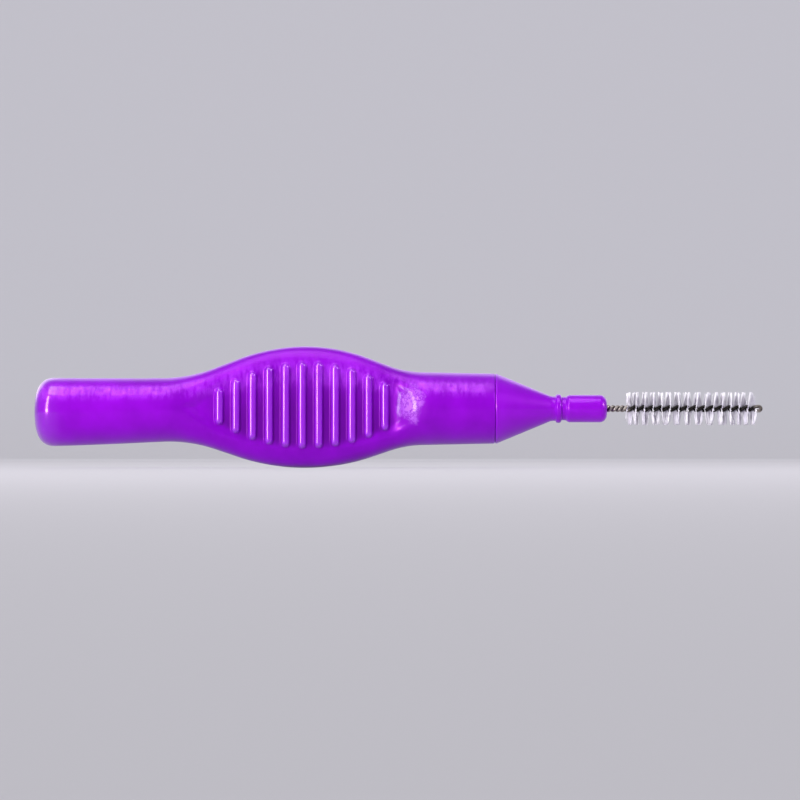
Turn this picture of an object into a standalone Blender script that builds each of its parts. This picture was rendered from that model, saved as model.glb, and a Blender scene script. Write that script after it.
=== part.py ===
"""Interdental brush: a ribbed plastic handle with a brush head pushed into its collar.

The part is drawn in metres, with +Z up and the brush pointing along +X. It stands on the lower
edge of its grip, and its two broad ribbed faces look along -Y and +Y. Places along the brush
are stations, counted from the end of the tail.
"""

import math

import bmesh
import bpy
from mathutils import Matrix, Vector

# Tail and collar of the handle
TAIL_DOME_LENGTH = 0.0019
TAIL_END_RADIUS = 0.0006
TAIL_RADIUS = 0.00329
TAIL_WAIST_RADIUS = 0.00307
DOME_POWER = 2.4
COLLAR_RADIUS = 0.003365
COLLAR_ROOT_RADIUS = 0.003542
COLLAR_LENGTH = 0.008625
COLLAR_EDGE = 0.0001

# Grip, seen from the side
GRIP_STATION = 0.02601
GRIP_HALF_HEIGHT = 0.00584
RISING_CROWN_RADIUS = 0.0192
FALLING_CROWN_RADIUS = 0.0184
GRIP_FLANK_ANGLE = math.radians(19.8)
TAIL_FILLET_RADIUS = 0.014
COLLAR_FILLET_RADIUS = 0.01

# Middle line of the handle: the tail hangs a little under the brush's axis, and the grip rises over it
TAIL_DROP = 0.00033
GRIP_RISE = 0.00015
MIDDLE_TOP_STATION = 0.027

# Grip, seen from above
GRIP_HALF_DEPTH = 0.0026
GRIP_POWER = 3.0
FLAT_REACH = 0.01375
FLAT_BLEND_LENGTH = 0.0055
COLLAR_RAMP_LENGTH = 0.0024
COLLAR_RAMP_LEAD = 0.001

# Dished panel and the ribs that stand in it
PANEL_RISE = 0.00017
DISH_DEPTH = 0.0003
DISH_MARGIN = 0.0002
DISH_EDGE = 0.0014
RIB_COUNT = 11
RIB_PITCH = 0.001587
RIB_SHIFT = 0.0003
RIB_WIDTH = 0.00081
RIB_HEIGHT = 0.00042
RIB_HALF_LENGTH = 0.00413
RIB_ARC_RADIUS = 0.01604
RIB_ARC_SHIFT = 0.00019

# Push fit between the handle and the brush holder
SPIGOT_LENGTH = 0.0063
SPIGOT_RADIUS = 0.0022
SPIGOT_CHAMFER = 0.0004
SPIGOT_CLEARANCE = 0.00005
SOCKET_END_CLEARANCE = 0.0004
SEAM_GAP = 0.00003

# Brush holder, along its length
SHOULDER_LENGTH = 0.00005
SHOULDER_RADIUS = 0.00025
CONE_END_LENGTH = 0.00536
CONE_END_RADIUS = 0.001205
NECK_LENGTH = 0.00044
NECK_RADIUS = 0.00118
RING_WIDTH = 0.00058
RING_RADIUS = 0.001375
GROOVE_WIDTH = 0.000625
GROOVE_RADIUS = 0.00113
GROOVE_SLOPE_SHARE = 0.33
NOSE_LENGTH = 0.003745
NOSE_RADIUS = 0.00132
NOSE_END_ROUND = 0.0007

# Twisted wire
WIRE_RADIUS = 0.00015
WIRE_LEG_GAP = 0.0001
WIRE_BARE_GAP = 0.00004
WIRE_ROOT_LENGTH = 0.0075
WIRE_CHANNEL_CLEARANCE = 0.00003
WIRE_BARE_LENGTH = 0.00194
WIRE_BARE_TWIST = 2.0 * math.pi
WIRE_TWIST_EASE = 0.00012
WIRE_SPREAD_LENGTH = 0.0004
WIRE_EYE_RADIUS = 0.00022
WIRE_TIP_LENGTH = 0.00065

# Filaments held between the two legs of the wire
BRISTLE_LENGTH = 0.0124
BRISTLE_RADIUS = 0.00158
TUFT_COUNT = 15
TUFT_GAP = 0.00003
STRANDS_PER_SIDE = 12
STRAND_FILL_SHARE = 0.74
RIBBON_CLEARANCE = 0.000025
RIBBON_HALF_WIDTH = 0.0003
STRAND_LEAN = 0.00009
STRAND_LEAN_TURN = 2.4

# Mesh steps
BODY_SEGMENTS = 32
TAIL_STEPS = 8
GRIP_STEPS = 30
DOME_STEPS = 6
ARC_STEPS = 4
RIB_SEGMENTS = 8
RIB_STEPS = 3
RIB_END_STEPS = 3
POINTS_PER_TURN = 12
SPREAD_STEPS = 4
EYE_STEPS = 8
WIRE_SIDES_RESOLUTION = 1
MERGE_DISTANCE = 1e-7
SMOOTH_ANGLE = math.radians(40)

# Straight lines of the handle's outline, as slope and height at station zero
FLANK_SLOPE = math.tan(GRIP_FLANK_ANGLE)
FLANK_LIFT_SHARE = 1 / math.cos(GRIP_FLANK_ANGLE) - 1
RISING_TOP = GRIP_HALF_HEIGHT + RISING_CROWN_RADIUS * FLANK_LIFT_SHARE
FALLING_TOP = GRIP_HALF_HEIGHT + FALLING_CROWN_RADIUS * FLANK_LIFT_SHARE
FLAT_START_STATION = GRIP_STATION - FLAT_REACH
TAIL_SLOPE = (TAIL_WAIST_RADIUS - TAIL_RADIUS) / (FLAT_START_STATION - TAIL_DOME_LENGTH)
TAIL_LINE = (TAIL_SLOPE, TAIL_RADIUS - TAIL_SLOPE * TAIL_DOME_LENGTH)
RISING_FLANK = (FLANK_SLOPE, RISING_TOP - FLANK_SLOPE * GRIP_STATION)
FALLING_FLANK = (-FLANK_SLOPE, FALLING_TOP + FLANK_SLOPE * GRIP_STATION)
COLLAR_SLOPE = (COLLAR_RADIUS - COLLAR_ROOT_RADIUS) / COLLAR_LENGTH


def crossing(first, second):
    """Station at which two straight lines cross."""
    return (second[1] - first[1]) / (first[0] - second[0])


# Stations that follow from the sizes above
COLLAR_CORNER_STATION = crossing(FALLING_FLANK, (0.0, COLLAR_ROOT_RADIUS))
COLLAR_LINE = (COLLAR_SLOPE, COLLAR_ROOT_RADIUS - COLLAR_SLOPE * COLLAR_CORNER_STATION)
RAMP_START_STATION = COLLAR_CORNER_STATION - COLLAR_RAMP_LEAD
HANDLE_LENGTH = COLLAR_CORNER_STATION + COLLAR_LENGTH
SHOULDER_STATION = HANDLE_LENGTH + SEAM_GAP
CONE_END_STATION = SHOULDER_STATION + CONE_END_LENGTH
RING_START_STATION = CONE_END_STATION + NECK_LENGTH
GROOVE_START_STATION = RING_START_STATION + RING_WIDTH
NOSE_START_STATION = GROOVE_START_STATION + GROOVE_WIDTH
NOSE_END_STATION = NOSE_START_STATION + NOSE_LENGTH
BRISTLE_START_STATION = NOSE_END_STATION + WIRE_BARE_LENGTH
BRISTLE_END_STATION = BRISTLE_START_STATION + BRISTLE_LENGTH
TIP_STATION = BRISTLE_END_STATION + WIRE_TIP_LENGTH
EYE_STATION = TIP_STATION - WIRE_RADIUS - WIRE_EYE_RADIUS
TWIST_END_STATION = EYE_STATION - WIRE_SPREAD_LENGTH

# Other sizes that follow from the ones above
HALF_TURN = BRISTLE_LENGTH / TUFT_COUNT
LEG_OFFSET = WIRE_RADIUS + WIRE_LEG_GAP / 2
BARE_LEG_OFFSET = WIRE_RADIUS + WIRE_BARE_GAP / 2
RIBBON_THICKNESS = WIRE_LEG_GAP - 2 * RIBBON_CLEARANCE


def smooth_share(value, start, length):
    """Rise smoothly from 0 at start to 1 one length later."""
    share = min(max((value - start) / length, 0.0), 1.0)
    return share * share * (3 - 2 * share)


def middle_height(station):
    """Height of the handle's middle line over the brush's axis."""
    rise = smooth_share(station, 0.0, MIDDLE_TOP_STATION)
    fall_length = COLLAR_CORNER_STATION - MIDDLE_TOP_STATION
    fall = smooth_share(station, MIDDLE_TOP_STATION, fall_length)
    return (TAIL_DROP + GRIP_RISE) * rise - TAIL_DROP - GRIP_RISE * fall


AXIS_HEIGHT = GRIP_HALF_HEIGHT - middle_height(GRIP_STATION)


def clear_scene():
    """Remove whatever the open file holds."""
    for obj in list(bpy.data.objects):
        bpy.data.objects.remove(obj, do_unlink=True)


def place(station, y=0.0, z=0.0):
    """Return the point at a station, with y and z counted from the brush's axis."""
    return Vector((station - TIP_STATION / 2, y, z + AXIS_HEIGHT))


# Materials


def plastic(name, colour, roughness):
    """Make a plain plastic of one colour."""
    material = bpy.data.materials.new(name)
    material.use_nodes = True
    shader = material.node_tree.nodes["Principled BSDF"]
    shader.inputs["Base Color"].default_value = (*colour, 1.0)
    shader.inputs["Roughness"].default_value = roughness
    shader.inputs["Metallic"].default_value = 0.0
    material.diffuse_color = (*colour, 1.0)
    return material


def bare_steel(name, colour, roughness):
    """Make a plain metal of one colour."""
    material = plastic(name, colour, roughness)
    shader = material.node_tree.nodes["Principled BSDF"]
    shader.inputs["Metallic"].default_value = 1.0
    return material


def add_object(name, bm, material):
    """Turn a bmesh into a smooth-shaded object with one material."""
    bmesh.ops.recalc_face_normals(bm, faces=bm.faces)
    mesh = bpy.data.meshes.new(name)
    bm.to_mesh(mesh)
    bm.free()
    mesh.shade_smooth()
    mesh.set_sharp_from_angle(angle=SMOOTH_ANGLE)
    obj = bpy.data.objects.new(name, mesh)
    bpy.context.scene.collection.objects.link(obj)
    if material:
        mesh.materials.append(material)
    return obj


def add_ring(bm, points):
    """Add one closed loop of edges and return its edges."""
    verts = [bm.verts.new(point) for point in points]
    followers = verts[1:] + verts[:1]
    return [bm.edges.new(pair) for pair in zip(verts, followers)]


def skin_rings(bm, rings):
    """Bridge each ring to the next and close both ends."""
    loops = [add_ring(bm, points) for points in rings]
    for loop, follower in zip(loops, loops[1:]):
        bmesh.ops.bridge_loops(bm, edges=loop + follower)
    bmesh.ops.holes_fill(bm, edges=loops[0] + loops[-1], sides=0)


# Outline of the handle, seen from the side


def line_height(line, station):
    """Height of a straight line at a station."""
    return line[0] * station + line[1]


def fillet_reach(before, after, radius):
    """Length of a fillet's tangents, from the corner to where the round starts."""
    return radius * math.tan((math.atan(after[0]) - math.atan(before[0])) / 2)


def hollow_fillet(station, before, after, radius):
    """Height of the round that fills the corner of two lines, or of the lines beside it."""
    corner = crossing(before, after)
    reach = fillet_reach(before, after, radius)
    start = corner - reach * math.cos(math.atan(before[0]))
    end = corner + reach * math.cos(math.atan(after[0]))
    if station <= start:
        return line_height(before, station)
    if station >= end:
        return line_height(after, station)
    centre_station = start - radius * math.sin(math.atan(before[0]))
    centre_height = line_height(before, start) + radius * math.cos(math.atan(before[0]))
    return centre_height - math.sqrt(radius ** 2 - (station - centre_station) ** 2)


def half_height(station):
    """Half the handle's height at a station: tail, flank, crown, flank and collar."""
    crown_radius = RISING_CROWN_RADIUS if station < GRIP_STATION else FALLING_CROWN_RADIUS
    crown_reach = crown_radius * math.sin(GRIP_FLANK_ANGLE)
    if station < GRIP_STATION - crown_reach:
        return hollow_fillet(station, TAIL_LINE, RISING_FLANK, TAIL_FILLET_RADIUS)
    if station > GRIP_STATION + crown_reach:
        return hollow_fillet(station, FALLING_FLANK, COLLAR_LINE, COLLAR_FILLET_RADIUS)
    drop = math.sqrt(crown_radius ** 2 - (station - GRIP_STATION) ** 2) - crown_radius
    return GRIP_HALF_HEIGHT + drop


# Cross-sections of the handle, with heights counted from its middle line


def half_depth(station):
    """Half the handle's depth: round tail, flat grip, round collar."""
    flat = smooth_share(station, FLAT_START_STATION, FLAT_BLEND_LENGTH)
    collar = smooth_share(station, RAMP_START_STATION, COLLAR_RAMP_LENGTH)
    tail_radius = line_height(TAIL_LINE, min(station, FLAT_START_STATION))
    depth = tail_radius * (1 - flat) + GRIP_HALF_DEPTH * flat
    return depth * (1 - collar) + line_height(COLLAR_LINE, station) * collar


def flatness(station):
    """0 where the handle is round and 1 where it is flat."""
    flat = smooth_share(station, FLAT_START_STATION, FLAT_BLEND_LENGTH)
    return flat * (1 - smooth_share(station, RAMP_START_STATION, COLLAR_RAMP_LENGTH))


def rib_half_length(station):
    """Half the length of a rib: the ribs' ends lie on an arc."""
    reach = max(RIB_ARC_RADIUS ** 2 - (station - GRIP_STATION - RIB_ARC_SHIFT) ** 2, 0.0)
    return RIB_HALF_LENGTH - RIB_ARC_RADIUS + math.sqrt(reach)


def dish_depth(station, z):
    """How far the ribbed panel is sunk into the face at a point."""
    inside = rib_half_length(station) + DISH_MARGIN - abs(z - PANEL_RISE)
    return DISH_DEPTH * flatness(station) * smooth_share(inside, 0.0, DISH_EDGE)


def section_power(station):
    """Power of the rounded outline: 2 is an ellipse, more is squarer."""
    return 2 + (GRIP_POWER - 2) * flatness(station)


def face_depth(station, z):
    """Distance from the middle plane to the front face at a height."""
    power = section_power(station)
    rise = min(abs(z) / half_height(station), 1.0)
    return half_depth(station) * (1 - rise ** power) ** (1 / power) - dish_depth(station, z)


def body_ring(station):
    """Points round the handle at a station."""
    share = 2 / section_power(station)
    points = []
    for index in range(BODY_SEGMENTS):
        angle = 2 * math.pi * index / BODY_SEGMENTS
        across = math.cos(angle)
        up = math.sin(angle)
        z = half_height(station) * math.copysign(abs(up) ** share, up)
        y = half_depth(station) * math.copysign(abs(across) ** share, across)
        sink = min(dish_depth(station, z), abs(y))
        points.append(place(station, y - math.copysign(sink, y), z + middle_height(station)))
    return points


def round_ring(station, radius):
    """Points round a circle about the handle's middle line."""
    points = []
    for index in range(BODY_SEGMENTS):
        turn = 2 * math.pi * index / BODY_SEGMENTS
        z = radius * math.sin(turn) + middle_height(station)
        points.append(place(station, radius * math.cos(turn), z))
    return points


def dome_rings():
    """Rings of the tail's rounded end, which has a small flat in its middle."""
    rings = []
    for index in range(DOME_STEPS):
        angle = math.pi / 2 * index / DOME_STEPS
        station = TAIL_DOME_LENGTH * (1 - math.cos(angle) ** (2 / DOME_POWER))
        swell = (TAIL_RADIUS - TAIL_END_RADIUS) * math.sin(angle) ** (2 / DOME_POWER)
        rings.append(round_ring(station, TAIL_END_RADIUS + swell))
    return rings


def body_stations():
    """Stations of the rings from the dome to the collar's edge."""
    tail_run = FLAT_START_STATION - TAIL_DOME_LENGTH
    stations = [TAIL_DOME_LENGTH + tail_run * index / TAIL_STEPS for index in range(TAIL_STEPS)]
    reach = fillet_reach(FALLING_FLANK, COLLAR_LINE, COLLAR_FILLET_RADIUS)
    grip_run = COLLAR_CORNER_STATION + reach - FLAT_START_STATION
    stations += [FLAT_START_STATION + grip_run * index / GRIP_STEPS for index in range(GRIP_STEPS + 1)]
    stations.append(HANDLE_LENGTH - COLLAR_EDGE)
    return stations


# Handle


def add_rib(bm, station, side):
    """Add one rib, whose middle line follows the dished face."""
    half_length = rib_half_length(station)
    end = RIB_WIDTH / 2
    heights = []
    for index in range(1, RIB_END_STEPS + 1):
        angle = math.pi / 2 * index / (RIB_END_STEPS + 1)
        heights.append((half_length - end + end * math.cos(angle), math.sin(angle)))
    straight = half_length - end
    for index in range(RIB_STEPS + 1):
        heights.append((straight * (1 - 2 * index / RIB_STEPS), 1.0))
    for height, share in reversed(heights[:RIB_END_STEPS]):
        heights.append((-height, share))
    rings = []
    for rib_height, share in heights:
        z = rib_height + PANEL_RISE
        ring = []
        for index in range(RIB_SEGMENTS):
            turn = 2 * math.pi * (index + 0.5) / RIB_SEGMENTS
            along = RIB_WIDTH / 2 * share * math.cos(turn)
            out = RIB_HEIGHT * share * math.sin(turn)
            y = side * (face_depth(station, z) + out)
            ring.append(place(station + along, y, z + middle_height(station)))
        rings.append(ring)
    skin_rings(bm, rings)


def make_ribs():
    """Make the ribs of both faces, as a guide that the handle is joined to."""
    bm = bmesh.new()
    first_station = GRIP_STATION - RIB_SHIFT - RIB_PITCH * (RIB_COUNT - 1) / 2
    for index in range(RIB_COUNT):
        for side in (-1, 1):
            add_rib(bm, first_station + RIB_PITCH * index, side)
    guide = add_object("rib_guide", bm, None)
    guide.hide_render = True
    guide.display_type = "WIRE"
    return guide


def sink_socket(bm):
    """Draw the collar's end face in to the socket's mouth, then push it into the collar."""
    end_face = max(bm.faces, key=lambda face: face.calc_center_median().x)
    mouth = bmesh.ops.extrude_discrete_faces(bm, faces=[end_face])["faces"][0]
    share = (SPIGOT_RADIUS + SPIGOT_CLEARANCE) / (COLLAR_RADIUS - COLLAR_EDGE)
    to_middle = Matrix.Translation(-place(HANDLE_LENGTH))
    bmesh.ops.scale(bm, vec=(1, share, share), space=to_middle, verts=mouth.verts)
    floor = bmesh.ops.extrude_discrete_faces(bm, faces=[mouth])["faces"][0]
    depth = SPIGOT_LENGTH + SOCKET_END_CLEARANCE
    bmesh.ops.translate(bm, vec=(-depth, 0, 0), verts=floor.verts)


def make_handle(material):
    """Make the handle: domed tail, ribbed flat grip and round collar with its socket."""
    bm = bmesh.new()
    rings = dome_rings() + [body_ring(station) for station in body_stations()]
    rings.append(round_ring(HANDLE_LENGTH, COLLAR_RADIUS - COLLAR_EDGE))
    skin_rings(bm, rings)
    sink_socket(bm)
    handle = add_object("handle", bm, material)
    joined = handle.modifiers.new("ribs", "BOOLEAN")
    joined.object = make_ribs()
    joined.operation = "UNION"
    joined.solver = "EXACT"
    return handle


# Brush holder


def arc(centre_station, centre_radius, size, first_angle, last_angle):
    """Points of an arc in the profile, from the first angle to the last."""
    points = []
    for index in range(ARC_STEPS + 1):
        angle = first_angle + (last_angle - first_angle) * index / ARC_STEPS
        station = centre_station + size * math.cos(angle)
        points.append((station, centre_radius + size * math.sin(angle)))
    return points


def holder_profile():
    """Half outline of the holder: spigot, cone, snap ring, nose and the wire's channel."""
    spigot_start = HANDLE_LENGTH - SPIGOT_LENGTH
    channel_radius = BARE_LEG_OFFSET + WIRE_RADIUS + WIRE_CHANNEL_CLEARANCE
    channel_end = NOSE_END_STATION - WIRE_ROOT_LENGTH - WIRE_CHANNEL_CLEARANCE
    cone_corner = SHOULDER_STATION + SHOULDER_LENGTH
    cone_angle = math.atan((COLLAR_RADIUS - CONE_END_RADIUS) / (CONE_END_STATION - cone_corner))
    shoulder = COLLAR_RADIUS - SHOULDER_RADIUS
    shoulder_centre = cone_corner - SHOULDER_RADIUS * math.tan(cone_angle / 2)
    edge_angle = math.acos((SHOULDER_STATION - shoulder_centre) / SHOULDER_RADIUS)
    points = [(spigot_start, 0.0), (spigot_start, SPIGOT_RADIUS - SPIGOT_CHAMFER)]
    points += [(spigot_start + SPIGOT_CHAMFER, SPIGOT_RADIUS), (SHOULDER_STATION, SPIGOT_RADIUS)]
    points += [(SHOULDER_STATION, COLLAR_RADIUS - COLLAR_EDGE)]
    slope_angle = math.pi / 2 - cone_angle
    points += arc(shoulder_centre, shoulder, SHOULDER_RADIUS, edge_angle, slope_angle)
    points += [(CONE_END_STATION, CONE_END_RADIUS)]
    points += [(CONE_END_STATION + NECK_LENGTH / 2, NECK_RADIUS), (RING_START_STATION, NECK_RADIUS)]
    points += ring_points()
    slope = GROOVE_WIDTH * GROOVE_SLOPE_SHARE
    points += [(GROOVE_START_STATION + slope, GROOVE_RADIUS)]
    points += [(NOSE_START_STATION - slope, GROOVE_RADIUS), (NOSE_START_STATION, NOSE_RADIUS)]
    end_centre = NOSE_END_STATION - NOSE_END_ROUND
    points += arc(end_centre, NOSE_RADIUS - NOSE_END_ROUND, NOSE_END_ROUND, math.pi / 2, 0.0)
    points += [(NOSE_END_STATION, channel_radius), (channel_end, channel_radius), (channel_end, 0.0)]
    return points


def ring_points():
    """The snap ring's rounded top."""
    points = []
    for index in range(1, ARC_STEPS + 1):
        angle = math.pi * index / (ARC_STEPS + 1)
        station = RING_START_STATION + RING_WIDTH * (1 - math.cos(angle)) / 2
        points.append((station, NECK_RADIUS + (RING_RADIUS - NECK_RADIUS) * math.sin(angle) ** 0.5))
    return points


def make_holder(material):
    """Turn the holder's profile about the brush's axis."""
    bm = bmesh.new()
    verts = [bm.verts.new(place(station, 0.0, radius)) for station, radius in holder_profile()]
    edges = [bm.edges.new(pair) for pair in zip(verts, verts[1:])]
    axis_point = place(0.0)
    bmesh.ops.spin(bm, geom=verts + edges, cent=axis_point, axis=(1, 0, 0), dvec=(0, 0, 0),
                   angle=2 * math.pi, steps=BODY_SEGMENTS, use_merge=True, use_duplicate=False)
    bmesh.ops.remove_doubles(bm, verts=bm.verts, dist=MERGE_DISTANCE)
    return add_object("brush_holder", bm, material)


# Twisted wire


def ribbon_angle(station):
    """Direction of the filaments about the axis: left-handed, and twisted more where bare."""
    beyond = math.hypot(station - BRISTLE_START_STATION, WIRE_TWIST_EASE)
    before = math.hypot(station - NOSE_END_STATION, WIRE_TWIST_EASE)
    extra_share = (before - beyond) / (2 * WIRE_BARE_LENGTH) - 0.5
    turned = (station - BRISTLE_START_STATION) / HALF_TURN
    return -math.pi * turned - WIRE_BARE_TWIST * extra_share


def leg_point(station, offset, angle):
    """A point on a leg, which lies a quarter turn round from the filaments."""
    turn = angle + math.pi / 2
    return place(station, offset * math.cos(turn), offset * math.sin(turn))


def leg_offset(station):
    """Distance of a leg from the axis: the legs part where filaments lie between them."""
    start = BRISTLE_START_STATION - WIRE_SPREAD_LENGTH
    parted = smooth_share(station, start, WIRE_SPREAD_LENGTH)
    return BARE_LEG_OFFSET + (LEG_OFFSET - BARE_LEG_OFFSET) * parted


def leg_stations():
    """Stations along a leg, closer together in its bare part, which is twisted more."""
    root = NOSE_END_STATION - WIRE_ROOT_LENGTH
    stations = [root]
    for end in (NOSE_END_STATION, BRISTLE_START_STATION, TWIST_END_STATION):
        start = stations[-1]
        turns = (ribbon_angle(start) - ribbon_angle(end)) / (2 * math.pi)
        steps = math.ceil(turns * POINTS_PER_TURN)
        stations += [start + (end - start) * index / steps for index in range(1, steps + 1)]
    return stations


def leg_points(side):
    """Middle line of one leg, from its root in the holder to the eye at the tip."""
    points = []
    for station in leg_stations():
        points.append(leg_point(station, side * leg_offset(station), ribbon_angle(station)))
    for index in range(1, SPREAD_STEPS + 1):
        share = index / SPREAD_STEPS
        offset = LEG_OFFSET + (WIRE_EYE_RADIUS - LEG_OFFSET) * smooth_share(share, 0.0, 1.0)
        station = TWIST_END_STATION + WIRE_SPREAD_LENGTH * share
        points.append(leg_point(station, side * offset, spread_angle(share)))
    return points


def spread_angle(share):
    """The twist dies away over the spread before the eye."""
    turned = math.pi * WIRE_SPREAD_LENGTH / HALF_TURN * (share - share * share / 2)
    return ribbon_angle(TWIST_END_STATION) - turned


def eye_points():
    """Points of the eye: a half round that joins the two legs at the tip."""
    points = []
    for index in range(1, EYE_STEPS):
        turn = math.pi * index / EYE_STEPS
        station = EYE_STATION + WIRE_EYE_RADIUS * math.sin(turn)
        points.append(leg_point(station, WIRE_EYE_RADIUS * math.cos(turn), spread_angle(1.0)))
    return points


def make_wire(material):
    """Make the one folded wire as a tube: out along one leg, round the eye and back."""
    points = leg_points(1) + eye_points() + list(reversed(leg_points(-1)))
    curve = bpy.data.curves.new("wire", "CURVE")
    curve.dimensions = "3D"
    curve.bevel_depth = WIRE_RADIUS
    curve.bevel_resolution = WIRE_SIDES_RESOLUTION
    curve.use_fill_caps = True
    spline = curve.splines.new("POLY")
    spline.points.add(len(points) - 1)
    for spline_point, point in zip(spline.points, points):
        spline_point.co = (*point, 1.0)
    curve.materials.append(material)
    wire = bpy.data.objects.new("wire", curve)
    bpy.context.scene.collection.objects.link(wire)
    return wire


# Filaments


def ribbon_section(station):
    """Four corners of the thin slice in which the filaments are clamped."""
    angle = ribbon_angle(station)
    along = Vector((0, math.cos(angle), math.sin(angle)))
    across = Vector((0, -math.sin(angle), math.cos(angle)))
    half = RIBBON_THICKNESS / 2
    corners = []
    for width, height in ((1, 1), (1, -1), (-1, -1), (-1, 1)):
        corners.append(place(station) + along * width * RIBBON_HALF_WIDTH + across * height * half)
    return corners


def tuft_stations(number):
    """Stations of the slice's sections: each strand takes one step and each gap one."""
    start = BRISTLE_START_STATION + HALF_TURN * number + TUFT_GAP / 2
    pitch = (HALF_TURN - TUFT_GAP) / STRANDS_PER_SIDE
    margin = (1 - STRAND_FILL_SHARE) / 2
    stations = [start]
    for index in range(STRANDS_PER_SIDE):
        stations.append(start + pitch * (index + margin))
        stations.append(start + pitch * (index + 1 - margin))
    stations.append(start + pitch * STRANDS_PER_SIDE)
    return stations


def make_tuft(number, material):
    """Make half a turn of filaments: strands drawn out of both edges of their slice."""
    bm = bmesh.new()
    stations = tuft_stations(number)
    skin_rings(bm, [ribbon_section(station) for station in stations])
    bmesh.ops.recalc_face_normals(bm, faces=bm.faces)
    bm.faces.ensure_lookup_table()
    middles = [(first + last) / 2 for first, last in zip(stations, stations[1:])]
    for index in range(1, len(middles), 2):
        for side in (1, -1):
            draw_strand(bm, middles[index], side, index)
    return add_object(f"tuft_{number + 1:02d}", bm, material)


def draw_strand(bm, station, side, index):
    """Extrude one strand from the edge face of the slice at a station."""
    angle = ribbon_angle(station)
    outward = Vector((0, math.cos(angle), math.sin(angle))) * side
    foot = place(station) + outward * RIBBON_HALF_WIDTH
    face = min(bm.faces, key=lambda item: (item.calc_center_median() - foot).length)
    drawn = bmesh.ops.extrude_discrete_faces(bm, faces=[face])["faces"][0]
    lean = STRAND_LEAN * math.sin(index * side * STRAND_LEAN_TURN + angle)
    reach = outward * (BRISTLE_RADIUS - RIBBON_HALF_WIDTH) + Vector((lean, 0, 0))
    bmesh.ops.translate(bm, verts=drawn.verts, vec=reach)


def build():
    """Build every piece."""
    clear_scene()
    handle_plastic = plastic("handle_plastic", (0.28, 0.002, 0.62), 0.32)
    holder_plastic = plastic("holder_plastic", (0.30, 0.002, 0.64), 0.3)
    wire_steel = bare_steel("wire_steel", (0.42, 0.40, 0.38), 0.28)
    nylon = plastic("filament_nylon", (0.82, 0.81, 0.84), 0.45)
    make_handle(handle_plastic)
    make_holder(holder_plastic)
    make_wire(wire_steel)
    for number in range(TUFT_COUNT):
        make_tuft(number, nylon)


build()
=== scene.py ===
import math
import random

import bmesh
import bpy
import numpy as np
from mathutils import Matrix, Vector


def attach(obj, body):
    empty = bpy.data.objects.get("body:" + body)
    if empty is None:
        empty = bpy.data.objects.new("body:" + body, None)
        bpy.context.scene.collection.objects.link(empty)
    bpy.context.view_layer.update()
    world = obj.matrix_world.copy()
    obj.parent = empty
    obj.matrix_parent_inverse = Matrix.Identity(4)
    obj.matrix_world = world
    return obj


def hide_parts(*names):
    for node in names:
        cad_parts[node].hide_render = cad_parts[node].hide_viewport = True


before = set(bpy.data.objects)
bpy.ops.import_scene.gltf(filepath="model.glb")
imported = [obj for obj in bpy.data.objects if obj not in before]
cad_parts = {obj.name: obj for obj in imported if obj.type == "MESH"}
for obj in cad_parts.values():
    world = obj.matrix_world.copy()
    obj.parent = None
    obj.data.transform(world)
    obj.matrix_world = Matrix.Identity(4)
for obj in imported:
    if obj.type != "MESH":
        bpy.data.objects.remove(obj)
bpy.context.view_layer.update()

# The looks of an interdental brush. Sizes are in metres, and places along the brush are stations,
# counted from the end of the tail. The outline's sizes are the part's own. The panel, the ramp to
# the collar, the rounds of the holder and the wire's legs differ from the solids by up to 0.34 mm.

# Handle
TAIL_DOME_LENGTH = 0.0019
TAIL_END_RADIUS = 0.0006
TAIL_RADIUS = 0.00329
TAIL_WAIST_RADIUS = 0.00307
DOME_POWER = 2.4
COLLAR_RADIUS = 0.003365
COLLAR_ROOT_RADIUS = 0.003542
COLLAR_LENGTH = 0.008625
COLLAR_EDGE = 0.0001
GRIP_STATION = 0.02601
GRIP_HALF_HEIGHT = 0.00584
RISING_CROWN_RADIUS = 0.0192
FALLING_CROWN_RADIUS = 0.0184
GRIP_FLANK_ANGLE = math.radians(19.8)
TAIL_FILLET_RADIUS = 0.014
COLLAR_FILLET_RADIUS = 0.01
TAIL_DROP = 0.00033
GRIP_RISE = 0.00015
MIDDLE_TOP_STATION = 0.027
GRIP_HALF_DEPTH = 0.0026
GRIP_POWER = 3.0
FLAT_REACH = 0.01375
FLAT_BLEND_LENGTH = 0.0055
COLLAR_RAMP_LENGTH = 0.003
COLLAR_RAMP_LEAD = 0.001
COLLAR_RAMP_EASE = 0.0006
COLLAR_LIP_DEPTH_SHARE = 0.4
COLLAR_LIP_WIDTH_SHARE = 0.3

# Ribbed panel
PANEL_RISE = 0.00017
PANEL_HALF_DEPTH = 0.00227
PANEL_BLEND = 0.00009
RAMP_BLEND = 0.0006
DISH_END_LENGTH = 0.0028
DISH_MARGIN = 0.0013
DISH_EDGE = 0.0015
RIB_COUNT = 11
RIB_PITCH = 0.001587
RIB_SHIFT = 0.0003
RIB_WIDTH = 0.00081
RIB_HEIGHT = 0.00042
RIB_HALF_LENGTH = 0.00413
RIB_ARC_RADIUS = 0.01604
RIB_ARC_SHIFT = 0.00019
RIB_SIDE_SHARE = 0.9
RIB_FOOT_SHARE = 0.14
CREST_EDGE_SHARE = 0.55

# Painted shade, painted highlights and other marks on the handle. A pair says where a fade starts
# and how long it is, as shares of a rib's height for the painted shade between ribs and the
# painted highlight on their crests, and of the handle's half height for the streaked band with its
# painted highlight.
GAP_SHADE_FADE_SHARES = (0.1, 0.5)
CREST_HIGHLIGHT_FADE_SHARES = (0.12, 0.45)
STREAK_RISE_SHARES = (0.25, 0.25)
STREAK_FALL_SHARES = (0.66, 0.22)
POLISH_START_SHARE = 0.6

# The painted shade on the panel deepens in two steps below the upper ends of the ribs
FIRST_SHADE_SHARE = 0.55
SECOND_SHADE_SHARE = 0.45

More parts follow.
